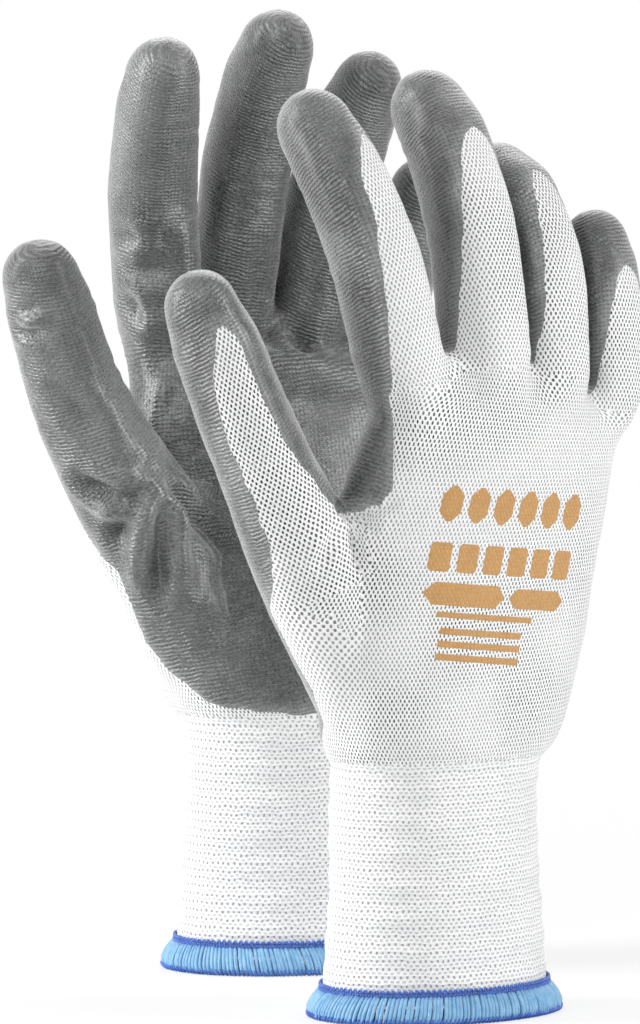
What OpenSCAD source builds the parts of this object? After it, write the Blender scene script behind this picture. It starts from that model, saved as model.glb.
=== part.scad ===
// A pair of seamless knitted work gloves with dipped palms, filled as if on two hands and
// standing on their hems. Each glove is drawn as a right hand, with its thumb to -X, its palm
// to +Y and its fingers up, and is then turned, or mirrored and turned, into its place.

/* [Glove] */
// Height from the foot of the hem to the tip of the middle finger
glove_length = 256; // [212:1:308]
// Breadth of the palm across the four knuckles
palm_breadth = 88; // [73:1:106]
// Thickness of the filled palm, back to front
palm_depth = 36; // [30:1:44]

/* [Cuff] */
// Height of the knitted cuff, hem included
cuff_length = 68; // [56:1:82]
// Width of the cuff at the wrist
cuff_width = 61; // [50:1:74]
// Depth of the cuff at the wrist
cuff_depth = 44; // [36:1:53]
// Height of the overlocked hem
hem_height = 7; // [5:0.5:9]
// How far the hem stands out past the cuff
hem_flare = 3.5; // [2.5:0.5:5]

/* [Digits] */
// Moulded curl of the fingers, as a share of the usual
finger_curl = 1; // [0.8:0.05:1.2]
// Lean of the thumb away from the hand, in degrees
thumb_lean = 28; // [24:1:34]
// Bend allowed at the foot of a digit, in degrees
foot_bend = 32; // [20:1:40]
// Bend allowed half way up a digit, in degrees
middle_bend = 42; // [25:1:50]
// Bend allowed backwards at either joint, in degrees
back_bend = 6; // [3:1:8]

/* [Fabric] */
// Thickness of the knitted fabric
knit_wall = 0.9; // [0.7:0.05:1.1]
// Thickness of the dipped coating
coating_wall = 0.4; // [0.3:0.05:0.5]
// Clearance between two pieces that lie on each other
lie_gap = 0.12; // [0.1:0.02:0.2]
// Clearance between two pieces that meet edge to edge
seam_gap = 0.3; // [0.2:0.05:0.4]

/* [Pair] */
// Turn of the right glove about its upright, in degrees
right_turn = 40; // [25:1:45]
// Turn of the left glove about its upright, in degrees
left_turn = 27; // [15:1:35]
// Distance from one cuff to the other, front to back
pair_gap = 105; // [100:1:130]

/* [Hidden] */
SIDES = ["right", "left"];
CUFF_PIECES = ["cuff_knit", "cuff_elastic", "hem_looper_thread", "hem_needle_thread",
               "hem_edge_thread"];
PALM_PIECES = ["palm_knit", "palm_coating", "back_print"];
DIGIT_NAMES = ["thumb", "index", "middle", "ring", "little"];
DIGIT_PIECES = ["base_knit", "base_coating", "tip_knit", "tip_coating"];
NODES = [
  for (side = SIDES, piece = concat(CUFF_PIECES, PALM_PIECES)) str(side, "_", piece),
  for (side = SIDES, digit = DIGIT_NAMES, piece = DIGIT_PIECES) str(side, "_", digit, "_", piece)
];
node = "all";

// The usual hand is 88 broad, 36 deep and 188 from wrist to fingertip.
broad = palm_breadth / 88;
deep = palm_depth / 36;
tall = (glove_length - cuff_length) / 188;
wrist = 68;

// Each hand's place: the cuff's middle and the hand's turn.
right_place = [29.6, 4.7 - pair_gap / 2, right_turn];
left_place = [-7.4, 4.7 + pair_gap / 2, left_turn];

// Sections of the hand above the wrist: height, half width, half depth, middle across,
// middle deep, and fall towards the little finger.
cuff_join_width = (cuff_width / 2 + 1) / broad;
cuff_join_depth = (cuff_depth / 2 + 0.6) / deep;
PALM = [
  [wrist + 0.3, cuff_join_width, cuff_join_depth, 0, -2, 0],
  [wrist + 3, cuff_join_width + 2, cuff_join_depth, 0, -2, 0],
  [80, 37, 21, 0, -4, 0], [100, 41, 20, 0, -7, 0], [125, 42, 19, 1, -11, 0.03],
  [150, 41, 17, 2.5, -18, 0.08], [163, 38.5, 12.5, 4, -23, 0.13]
];

// Digits: foot inside the hand, sideways lean, turn of the fold towards the other digits,
// bends at foot, web, knuckle and end joint, lengths of the four stretches, half widths and
// half depths at the five stations. The two gloves hold their fingers a little differently.
function digits(side) = side == "right" ? [
  ["thumb", [-20, -2, 74], -thumb_lean, 40, [0, 0, 9, 4], [56, 38, 23, 13],
    [12, 14, 12.2, 11.4, 9.4], [13, 14, 12.4, 11.4, 9.4]],
  ["index", [-27, -24, 158], -9, 0, [10, 0, 14, 12], [14, 30, 26, 14],
    [10.6, 10.6, 11.1, 10.7, 9.3], [11.5, 11.7, 11.3, 10.6, 9.2]],
  ["middle", [-5.5, -29, 163], 3.8, 0, [14, 0, 14, 14], [11, 33, 28, 11],
    [10.5, 10.5, 11.1, 10.7, 9.3], [11.5, 11.7, 11.3, 10.6, 9.2]],
  ["ring", [16, -28, 160], 7.5, 0, [16, 0, 20, 24], [10, 28, 22, 9],
    [10.2, 10.2, 10.6, 10.2, 8.8], [11, 11.4, 10.9, 10.2, 8.8]],
  ["little", [37.3, -24, 152], 7, 0, [7, 0, 8, 8], [9, 20, 14, 8],
    [9, 9.1, 9.3, 9, 8], [10, 10.3, 9.7, 9.2, 8]]
] : [
  ["thumb", [-20, -2, 74], -thumb_lean, 40, [0, 0, 8, 4], [55, 37, 22, 13],
    [12, 14, 12.2, 11.4, 9.4], [13, 14, 12.4, 11.4, 9.4]],
  ["index", [-27, -24, 158], -7.5, 0, [8, 0, 12, 10], [14, 31, 27, 14],
    [10.6, 10.6, 11.1, 10.7, 9.3], [11.5, 11.7, 11.3, 10.6, 9.2]],
  ["middle", [-5.5, -29, 163], 0.7, 0, [12, 0, 11, 12], [11, 35, 29, 13],
    [10.5, 10.5, 11.1, 10.7, 9.3], [11.5, 11.7, 11.3, 10.6, 9.2]],
  ["ring", [16, -28, 160], 4.5, 0, [15, 0, 9, 11], [10, 31, 27, 12],
    [10.2, 10.2, 10.6, 10.2, 8.8], [11, 11.4, 10.9, 10.2, 8.8]],
  ["little", [37.3, -24, 152], 8, 0, [8, 0, 8, 8], [9, 22, 15, 8],
    [9, 9.1, 9.3, 9, 8], [10, 10.3, 9.7, 9.2, 8]]
];
function digit_name(d) = d[0];
function digit_foot(d) =
  [d[1][0] * broad, d[1][1] * deep, cuff_length + (d[1][2] - wrist) * tall];
function digit_length(d, k) = d[5][k] * tall;
function half_width(d, k) = d[6][k] * broad;
function half_depth(d, k) = d[7][k] * broad;
function total(list, k) = k < 0 ? 0 : list[k] + total(list, k - 1);
function fold_angle(d, k) = total(d[4], k) * (digit_name(d) == "thumb" ? 1 : finger_curl);

// Directions of a digit: along it, across it, and towards its palm side.
function straight(d) = [sin(d[2]), 0, cos(d[2])];
function sideways(d) = [cos(d[2]), 0, -sin(d[2])];
function folding(d) = [0, cos(d[3]), 0] + sideways(d) * sin(d[3]);
function across(d) = sideways(d) * cos(d[3]) - [0, sin(d[3]), 0];
function along(d, angle) = straight(d) * cos(angle) + folding(d) * sin(angle);
function palmward(d, angle) = folding(d) * cos(angle) - straight(d) * sin(angle);
function station(d, k) = k == 0 ? digit_foot(d)
  : station(d, k - 1) + digit_length(d, k - 1) * along(d, fold_angle(d, k - 1));
function mitre(d, k) = k == 0 ? fold_angle(d, 0)
  : k == 4 ? fold_angle(d, 3) : (fold_angle(d, k - 1) + fold_angle(d, k)) / 2;

// The hinges sit at stations 1 and 2, nearer to the palm side than to the back.
hinge_share = 0.3;
foot_hinge = 1;
middle_hinge = 2;
function hinge_point(d, k) =
  station(d, k) + hinge_share * half_depth(d, k) * palmward(d, mitre(d, k));

// Rings of points and the skins stretched over them.
digit_points = 14;
hand_points = 24;
tip_turns = [36, 68];
function oval(middle, side, front, w, h, n) =
  [for (i = [0:n - 1]) middle + side * w * cos(360 * i / n) + front * h * sin(360 * i / n)];
function digit_ring(d, k, grow) =
  oval(station(d, k), across(d), palmward(d, mitre(d, k)), half_width(d, k) + grow,
       half_depth(d, k) + grow, digit_points);
function halfway_ring(d, k, grow) = (digit_ring(d, k, grow) + digit_ring(d, k + 1, grow)) / 2;
function tip_ring(d, turn, grow) =
  oval(station(d, 4) + (half_depth(d, 4) + grow) * sin(turn) * along(d, mitre(d, 4)),
       across(d), palmward(d, mitre(d, 4)), (half_width(d, 4) + grow) * cos(turn),
       (half_depth(d, 4) + grow) * cos(turn), digit_points);
function squared(v) = sign(v) * pow(abs(v), 0.86);
function hand_height(z) = cuff_length + (z - wrist) * tall;
function hand_ring(s, grow, lift = 0) = [
  for (i = [0:hand_points - 1])
    let(x = s[3] * broad + (s[1] * broad + grow) * squared(cos(360 * i / hand_points)))
    [x, s[4] * deep + (s[2] * deep + grow) * squared(sin(360 * i / hand_points)),
     hand_height(s[0]) - s[5] * x + lift]];

// A closed solid over a stack of rings, or over rings that run back to the first.
module stacked(rings) {
  n = len(rings[0]);
  last = len(rings) - 1;
  walls = [for (k = [0:last - 1], i = [0:n - 1], half = [0, 1]) let(j = (i + 1) % n)
    half == 0 ? [k * n + i, k * n + n + i, k * n + n + j] : [k * n + i, k * n + n + j, k * n + j]];
  ends = [[for (i = [0:n - 1]) i], [for (i = [n - 1:-1:0]) last * n + i]];
  polyhedron([for (r = rings, p = r) p], concat(walls, ends));
}
module hooped(rings) {
  n = len(rings[0]);
  m = len(rings);
  polyhedron([for (r = rings, p = r) p],
    [for (k = [0:m - 1], i = [0:n - 1], half = [0, 1]) let(j = (i + 1) % n, u = (k + 1) % m)
      half == 0 ? [k * n + i, u * n + i, u * n + j] : [k * n + i, u * n + j, k * n + j]]);
}
// Cuts and joins inside a soft skin are made on its facets.
module soft() resize([0, 0, 0]) children();

// One whole digit, grown outwards or inwards from the knitted outside.
module digit_solid(d, grow) stacked([
  digit_ring(d, 0, grow), digit_ring(d, 1, grow), halfway_ring(d, 1, grow),
  digit_ring(d, 2, grow), halfway_ring(d, 2, grow), digit_ring(d, 3, grow),
  digit_ring(d, 4, grow), for (turn = tip_turns) tip_ring(d, turn, grow)]);
// The stretch of a digit that belongs to the hand, up to a little past its foot hinge.
function moved(ring, step) = [for (p = ring) p + step];
module digit_root(d, grow) stacked([
  if (digit_name(d) != "thumb") moved(digit_ring(d, 0, grow), [0, 3, -12]),
  digit_ring(d, 0, grow), digit_ring(d, 1, grow),
  moved(digit_ring(d, 1, grow), 7 * along(d, mitre(d, 1)))]);
module hand_solid(grow, open_below = false) {
  last = len(PALM) - 1;
  stacked([
    if (open_below) moved(hand_ring(PALM[0], grow), [0, 0, -5]),
    for (k = [0:last]) hand_ring(PALM[k], grow, k == last ? grow : 0)]);
}

// The space on one side of a hinge: a roof-shaped face that leaves room for the bend.
module hinge_side(d, k, bend, reach, beyond, wide) {
  up = beyond ? 1 : -1;
  rise = 40;
  half = half_width(d, k) + wide;
  point = hinge_point(d, k);
  a = along(d, mitre(d, k));
  p = palmward(d, mitre(d, k));
  s = across(d);
  multmatrix([[p[0], a[0], s[0], point[0]], [p[1], a[1], s[1], point[1]],
              [p[2], a[2], s[2], point[2]], [0, 0, 0, 1]])
    translate([0, 0, -half]) linear_extrude(2 * half)
      polygon([
        [0, -up * seam_gap / 2],
        [rise, -up * (seam_gap / 2 + rise * tan(bend / 2))],
        [rise, up * reach], [-rise, up * reach],
        [-rise, -up * (seam_gap / 2 + rise * tan(back_bend / 2))]]);
}
module foot_side(d, beyond, reach = 80, wide = 12)
  hinge_side(d, foot_hinge, foot_bend, reach, beyond, wide);
module middle_side(d, beyond, reach = 130, wide = 14)
  hinge_side(d, middle_hinge, middle_bend, reach, beyond, wide);

// The uncoated strip up the back of a digit.
strip_turns = [-54, -27, 0, 27, 54];
function strip_ring(d, at, angle, w, h) = concat([at],
  [for (t = strip_turns) at + 1.3 * (w * sin(t) * across(d) - h * cos(t) * palmward(d, angle))]);
module back_strip(d) {
  top = station(d, 3) * 0.4 + station(d, 4) * 0.6;
  stacked([
    strip_ring(d, station(d, 0) - 12 * straight(d), mitre(d, 0), half_width(d, 0), half_depth(d, 0)),
    for (k = [1:3]) strip_ring(d, station(d, k), mitre(d, k), half_width(d, k), half_depth(d, k)),
    strip_ring(d, top, mitre(d, 4), half_width(d, 4) * 0.7, half_depth(d, 4))]);
}

// Knitted and coated stretches of a digit.
module digit_base_knit(d) color("white") soft() difference() {
  digit_solid(d, 0);
  digit_solid(d, -knit_wall);
  foot_side(d, false);
  middle_side(d, true);
}
module digit_tip_knit(d) color("white") soft() difference() {
  digit_solid(d, 0);
  digit_solid(d, -knit_wall);
  middle_side(d, false);
}
module digit_coating(d) difference() {
  digit_solid(d, lie_gap + coating_wall);
  digit_solid(d, lie_gap);
  back_strip(d);
}
module digit_base_coating(d) color("gray") soft() difference() {
  digit_coating(d);
  foot_side(d, false);
  middle_side(d, true);
}
module digit_tip_coating(d) color("gray") soft() difference() {
  digit_coating(d);
  middle_side(d, false);
}

// The hand: one knitted bag from the wrist to the five digit feet.
module hand_with_feet(side, grow, open_below = false) {
  hand_solid(grow, open_below);
  for (d = digits(side)) digit_root(d, grow);
}
module palm_knit(side) color("white") soft() difference() {
  hand_with_feet(side, 0);
  hand_with_feet(side, -knit_wall, true);
  for (d = digits(side)) foot_side(d, true, 14, 0.45);
}
// The coating covers the palm side, from just over the wrist up to the digit feet.
module coated_zone() {
  top = hand_height(200);
  rotate([90, 0, 90]) translate([0, 0, -100]) linear_extrude(200)
    polygon([[-6 * deep, hand_height(69.5)], [-10 * deep, hand_height(110)],
             [-24 * deep, hand_height(150)], [-30 * deep, top], [80, top],
             [80, hand_height(69.5)]]);
}
module palm_coating(side) color("gray") soft() intersection() {
  difference() {
    hand_with_feet(side, lie_gap + coating_wall);
    hand_with_feet(side, lie_gap, true);
    for (d = digits(side)) foot_side(d, true, 14, 0.6);
    for (d = digits(side)) back_strip(d);
  }
  coated_zone();
}
// A generic marking on the back of the hand: bars only.
print_wall = 0.3;
module print_bars() {
  translate([0, 0]) square([44, 7]);
  for (i = [0:4]) translate([i * 9, -10]) square([6, 6]);
  translate([4, -17]) square([34, 4]);
  translate([8, -22]) square([24, 1.6]);
  translate([12, -25.5]) square([18, 1.6]);
}
module back_print() color("peru") soft() intersection() {
  difference() {
    hand_solid(lie_gap + print_wall);
    hand_solid(lie_gap, true);
  }
  translate([-20 * broad, -12 * deep, hand_height(130)]) rotate([90, 7, 0])
    linear_extrude(60) scale([broad, broad]) print_bars();
}

// The cuff: a knitted sleeve that widens to the hem.
cuff_foot = hem_height + seam_gap;
CUFF_RISE = [0, 0.45, 1];
function cuff_half(share, size, spread) =
  size / 2 + spread * pow(1 - share, 2);
function cuff_ring(share, grow) = oval([0, 0, cuff_foot + (cuff_length - cuff_foot) * share],
  [1, 0, 0], [0, 1, 0], cuff_half(share, cuff_width, 2.4) + grow,
  cuff_half(share, cuff_depth, 2.4) + grow, hand_points);
module cuff_knit() color("white") hooped([
  for (share = CUFF_RISE) cuff_ring(share, 0),
  for (i = [2:-1:0]) cuff_ring(CUFF_RISE[i], -knit_wall)]);
// Elastic yarns laid into the cuff.
elastic_yarn = 0.8;
module elastic_yarn_at(share) {
  out = -knit_wall - lie_gap;
  rise = [0, 0, elastic_yarn];
  low = cuff_ring(share, out);
  low_in = cuff_ring(share, out - elastic_yarn);
  hooped([low, [for (p = low) p + rise], [for (p = low_in) p + rise], low_in]);
}
module cuff_elastic() color("gainsboro") for (share = [0.45, 0.97]) elastic_yarn_at(share);

// The hem: thread wrapped over the cuff's edge, with a stitch line above and knots below.
foot_width = cuff_width + 4.8;
foot_depth = cuff_depth + 4.8;
function hoop_ring(out, z) = oval([0, 0, z], [1, 0, 0], [0, 1, 0], foot_width / 2 + out,
                                  foot_depth / 2 + out, hand_points);
module hem_looper_thread() color("skyblue") hooped([
  hoop_ring(hem_flare - 1, 0), hoop_ring(hem_flare, hem_height * 0.3),
  hoop_ring(hem_flare * 0.7, hem_height * 0.7), hoop_ring(0, hem_height),
  hoop_ring(-knit_wall - 0.2, hem_height), hoop_ring(-0.4, hem_height * 0.4),
  hoop_ring(hem_flare - 3, 0)]);
needle_thread = 0.7;
module hem_needle_thread() color("dodgerblue") {
  z = cuff_foot + 0.6;
  hooped([hoop_ring(lie_gap, z), hoop_ring(lie_gap + needle_thread, z),
          hoop_ring(lie_gap + needle_thread, z + needle_thread),
          hoop_ring(lie_gap, z + needle_thread)]);
}
module hem_edge_thread() color("dodgerblue") {
  out = hem_flare - 0.6 + lie_gap;
  hooped([hoop_ring(out, 0.5), hoop_ring(out + needle_thread, 0.5),
          hoop_ring(out + needle_thread + 0.3, 0.5 + needle_thread),
          hoop_ring(out + 0.4, 0.5 + needle_thread)]);
}

module place(side) {
  if (side == "right")
    translate([right_place[0], right_place[1], 0]) rotate(right_place[2]) children();
  else
    translate([left_place[0], left_place[1], 0]) rotate(left_place[2]) mirror([0, 1, 0]) children();
}
function shown(side, piece) = node == "all" || node == str(side, "_", piece);
function digit_shown(side, d, piece) = shown(side, str(digit_name(d), "_", piece));

for (side = SIDES) {
  if (shown(side, "cuff_knit")) place(side) cuff_knit();
  if (shown(side, "cuff_elastic")) place(side) cuff_elastic();
  if (shown(side, "hem_looper_thread")) place(side) hem_looper_thread();
  if (shown(side, "hem_needle_thread")) place(side) hem_needle_thread();
  if (shown(side, "hem_edge_thread")) place(side) hem_edge_thread();
  if (shown(side, "palm_knit")) place(side) palm_knit(side);
  if (shown(side, "palm_coating")) place(side) palm_coating(side);
  if (shown(side, "back_print")) place(side) back_print();
}
for (side = SIDES, d = digits(side)) {
  if (digit_shown(side, d, "base_knit")) place(side) digit_base_knit(d);
  if (digit_shown(side, d, "base_coating")) place(side) digit_base_coating(d);
  if (digit_shown(side, d, "tip_knit")) place(side) digit_tip_knit(d);
  if (digit_shown(side, d, "tip_coating")) place(side) digit_tip_coating(d);
}
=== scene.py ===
# Looks for a pair of dipped knit gloves that stand on their hems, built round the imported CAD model.
# Each glove is shaped as a right hand in millimetres, thumb to -X, palm to +Y and fingers up,
# and is then mirrored if need be, turned and set in its place.
import math
import time

import bmesh
import bpy
import numpy as np
from mathutils import Matrix, Vector, noise


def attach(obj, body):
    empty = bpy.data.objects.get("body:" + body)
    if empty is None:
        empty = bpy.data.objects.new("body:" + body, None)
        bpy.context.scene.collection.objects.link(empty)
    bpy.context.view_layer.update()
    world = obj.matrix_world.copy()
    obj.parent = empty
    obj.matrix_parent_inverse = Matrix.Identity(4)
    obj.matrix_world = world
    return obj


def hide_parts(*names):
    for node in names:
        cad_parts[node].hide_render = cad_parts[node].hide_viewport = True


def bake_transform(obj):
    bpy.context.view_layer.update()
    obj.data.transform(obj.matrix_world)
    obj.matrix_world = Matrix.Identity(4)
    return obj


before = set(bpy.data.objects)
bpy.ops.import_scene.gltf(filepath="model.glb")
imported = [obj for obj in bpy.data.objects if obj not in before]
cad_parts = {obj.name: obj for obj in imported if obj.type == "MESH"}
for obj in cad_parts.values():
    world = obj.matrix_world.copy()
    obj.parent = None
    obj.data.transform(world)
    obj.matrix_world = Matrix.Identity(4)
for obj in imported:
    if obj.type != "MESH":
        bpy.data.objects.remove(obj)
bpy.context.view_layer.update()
startedAt = time.time()
millimetre = 0.001


def say(text):
    print("%6.1f s  %s" % (time.time() - startedAt, text))


# the hand inside each glove, as in the CAD model
hand = {
    "squareness": 0.86,
    "hingeShare": 0.3,
    # height, half width, half depth, middle across, middle deep, fall towards the little finger
    "palmSections": [
        (-2, 33.0, 24.4, 0, 0, 0), (8, 32.6, 24.1, 0, 0, 0), (24, 31.6, 23.0, 0, 0, 0), (40, 30.6, 22.2, 0,
                0, 0),
        (56, 30.3, 21.9, 0, 0, 0), (66, 30.4, 22.0, 0, -0.4, 0), (70.5, 33.6, 22.8, 0, -2, 0),
        (80, 37, 21.3, 0, -4, 0), (100, 41, 20, 0, -7, 0), (125, 42, 19, 1, -11, 0.03),
        (150, 41, 17, 2.5, -18, 0.08), (163, 38.5, 12.5, 4, -23, 0.13),
    ],
}
# foot, lean, turn of the fold, bends, stretches, half widths and half depths at the stations
fingerWidths = (9.0, 10.6, 11.0, 10.6, 9.3)
fingerDepths = (9.5, 11.7, 11.3, 10.6, 9.2)
ringWidths = (9.0, 10.2, 10.6, 10.2, 8.8)
ringDepths = (9.5, 11.4, 10.9, 10.2, 8.8)
littleWidths = (6.0, 9.0, 9.3, 9, 8)
littleDepths = (8, 10.3, 9.7, 9.2, 8)
thumbWidths = (12, 14, 12.2, 11.4, 9.4)
thumbDepths = (13, 14, 12.4, 11.4, 9.4)
digitShapes = {
    "right": {
        "thumb": ((-20, -2, 74), -28, 40, (0, 0, 9, 4), (56, 38, 23, 13), thumbWidths, thumbDepths),
        "index": ((-27, -24, 158), -9, 0, (10, 0, 14, 12), (14, 30, 26, 14), fingerWidths, fingerDepths),
        "middle": ((-5.5, -29, 163), 3.8, 0, (14, 0, 14, 14), (11, 33, 28, 11), fingerWidths, fingerDepths),
        "ring": ((16, -28, 160), 7.5, 0, (16, 0, 20, 24), (10, 28, 22, 9), ringWidths, ringDepths),
        "little": ((37.3, -24, 152), 7, 0, (7, 0, 8, 8), (9, 20, 14, 8), littleWidths, littleDepths),
    },
    "left": {
        "thumb": ((-20, -2, 74), -28, 40, (0, 0, 8, 4), (55, 37, 22, 13), thumbWidths, thumbDepths),
        "index": ((-27, -24, 158), -7.5, 0, (8, 0, 12, 10), (14, 31, 27, 14), fingerWidths, fingerDepths),
        "middle": ((-5.5, -29, 163), 0.7, 0, (12, 0, 11, 12), (11, 35, 29, 13), fingerWidths, fingerDepths),
        "ring": ((16, -28, 160), 4.5, 0, (15, 0, 9, 11), (10, 31, 27, 12), ringWidths, ringDepths),
        "little": ((37.3, -24, 152), 8, 0, (8, 0, 8, 8), (9, 22, 15, 8), littleWidths, littleDepths),
    },
}
# where each glove stands: middle of its cuff, turn in degrees, and whether it is the mirrored hand
gloves = {
    "right": {"place": (29.6, -47.8), "turn": 40, "mirrored": False, "seed": 3.0},
    "left": {"place": (-7.4, 57.2), "turn": 27, "mirrored": True, "seed": 8.0},
}
digitNames = ("thumb", "index", "middle", "ring", "little")


class Digit:
    def __init__(self, shape):
        foot, lean, turn, self.bends, self.stretches, self.widths, self.depths = shape
        lean, turn = math.radians(lean), math.radians(turn)
        self.straight = Vector((math.sin(lean), 0, math.cos(lean)))
        sideways = Vector((math.cos(lean), 0, -math.sin(lean)))
        self.folding = Vector((0, math.cos(turn), 0)) + sideways * math.sin(turn)
        self.across = sideways * math.cos(turn) - Vector((0, math.sin(turn), 0))
        folds = [math.radians(sum(self.bends[:k + 1])) for k in range(4)]
        self.mitres = [folds[0]] + [(folds[k - 1] + folds[k]) / 2 for k in (1, 2, 3)] + [folds[3]]
        self.stations = [Vector(foot)]
        for k in range(4):
            self.stations.append(self.stations[-1] + self.stretches[k] * self.along(folds[k]))

    def along(self, angle):
        return self.straight * math.cos(angle) + self.folding * math.sin(angle)

    def palmward(self, angle):
        return self.folding * math.cos(angle) - self.straight * math.sin(angle)

    def hinge(self, k):
        return self.stations[k] + hand["hingeShare"] * self.depths[k] * self.palmward(self.mitres[k])

    # middle, fold angle, half width and half depth, a share of the way from one station to the next
    def sample(self, at):
        k = min(int(at), 3)
        f = at - k
        ease = f * f * (3 - 2 * f)
        angle = self.mitres[k] * (1 - ease) + self.mitres[k + 1] * ease
        low, high = self.stations[k], self.stations[k + 1]
        reach = (high - low).length
        lowPull, highPull = self.along(self.mitres[k]) * reach, self.along(self.mitres[k + 1]) * reach
        middle = (low * (2 * f**3 - 3 * f**2 + 1) + lowPull * (f**3 - 2 * f**2 + f)
                  + high * (3 * f**2 - 2 * f**3) + highPull * (f**3 - f**2))
        width = self.widths[k] * (1 - ease) + self.widths[k + 1] * ease
        depth = self.depths[k] * (1 - ease) + self.depths[k + 1] * ease
        return middle, angle, width, depth


# shaping the skin
skin = {
    "voxel": 1.2,            # mesh size of the fabric, in millimetres
    "smoothing": 4,
    "webSmoothing": 26,
    "palmPoints": 96,
    "digitPoints": 36,
    "digitSquareness": 0.82,
    "digitSteps": 7,         # rings between two stations
    "hemTop": 5.0,           # the fabric ends inside the hem
    # fingers are fused while they are held apart by these angles, and then let back
    "apart": {"thumb": 0, "index": -6, "middle": -3, "ring": 5, "little": 13},
    # fillets between the digit feet: middle and half sizes
    "webs": [((-17, -24.5, 165.5), (7, 9.5, 11.5)), ((6, -25, 163), (6, 9, 9)), ((27.5, -23, 156), (6, 9,
            9))],
}


# turns points of one digit sideways about its foot, with a calm zone at the web
def spreadPoints(points, digit, degrees):
    rel = points - np.array(digit.stations[1])
    level = rel @ np.array(digit.along(digit.mitres[1]))
    flat = np.hypot(rel[:, 0], rel[:, 2])
    share = np.clip((flat - 10.2) / 3, 0, 1)
    share = share * share * (3 - 2 * share)
    rise = np.clip(level / 3, 0, 1)
    angle = math.radians(degrees) * share * rise * rise * (3 - 2 * rise)
    moved = points.copy()
    moved[:, 0] = points[:, 0] + rel[:, 0] * (np.cos(angle) - 1) + rel[:, 2] * np.sin(angle)
    moved[:, 2] = points[:, 2] - rel[:, 0] * np.sin(angle) + rel[:, 2] * (np.cos(angle) - 1)
    return moved


def squared(value, power):
    return math.copysign(abs(value) ** power, value)


def addRing(bm, middle, side, front, width, depth, points, power, fall=0.0):
    ring = bmesh.ops.create_circle(bm, cap_ends=False, segments=points, radius=1)["verts"]
    for v in ring:
        x = width * squared(v.co.x, power)
        y = depth * squared(v.co.y, power)
        v.co = middle + side * x + front * y - Vector((0, 0, fall * (middle.x + x)))
    return ring


def ringEdges(ring):
    members = set(ring)
    return list({e for v in ring for e in v.link_edges if e.other_vert(v) in members})


def stackRings(bm, rings):
    edges = [ringEdges(r) for r in rings]
    for low, high in zip(edges, edges[1:]):
        bmesh.ops.bridge_loops(bm, edges=low + high)
    bmesh.ops.holes_fill(bm, edges=edges[0] + edges[-1])


def buildDigit(name, digit):
    bm = bmesh.new()
    rings = []
    count = skin["digitSteps"]
    for step in range(4 * count + 1):
        middle, angle, width, depth = digit.sample(step / count)
        rings.append(addRing(bm, middle, digit.across, digit.palmward(angle), width, depth,
                             skin["digitPoints"], skin["digitSquareness"]))
    middle, angle, width, depth = digit.sample(4)
    for turn in (15, 30, 44, 57, 69, 80):
        turned = math.radians(turn)
        rings.append(addRing(bm, middle + digit.along(angle) * depth * math.sin(turned), digit.across,
                             digit.palmward(angle), width * math.cos(turned), depth * math.cos(turned),
                             skin["digitPoints"], 0.95))
    stackRings(bm, rings)
    bmesh.ops.recalc_face_normals(bm, faces=bm.faces)
    held = spreadPoints(np.array([v.co for v in bm.verts]), digit, skin["apart"][name])
    for v, p in zip(bm.verts, held):
        v.co = p
    return bm


def palmSection(height):
    rows = hand["palmSections"]
    heights = [r[0] for r in rows]
    return [float(np.interp(height, heights, [r[i] for r in rows])) for i in range(6)]


def buildPalm():
    bm = bmesh.new()
    rings = []
    for height in list(np.arange(-2, 65, 4.0)) + list(np.arange(65, 75, 1.4)) + list(np.arange(76, 163.1,
            3.0)):
        _, width, depth, acrossMiddle, deepMiddle, fall = palmSection(height)
        power = float(np.interp(height, (66, 74), (1.0, hand["squareness"])))
        rings.append(addRing(bm, Vector((acrossMiddle, deepMiddle, height)), Vector((1, 0, 0)), Vector((0,
                1, 0)),
                             width, depth, skin["palmPoints"], power, fall))
    stackRings(bm, rings)
    bmesh.ops.recalc_face_normals(bm, faces=bm.faces)
    return bm


def meshObject(name, bm):
    mesh = bpy.data.meshes.new(name)
    bm.to_mesh(mesh)
    bm.free()
    thing = bpy.data.objects.new(name, mesh)
    bpy.context.scene.collection.objects.link(thing)
    return thing


# the band round the digit feet that is smoothed more, so the hand flows into the digits
def webLow(p):
    return 146 - 0.25 * max(p.x, 0)


def webHigh(p):
    return 176 - 0.35 * max(p.x, 0)


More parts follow.
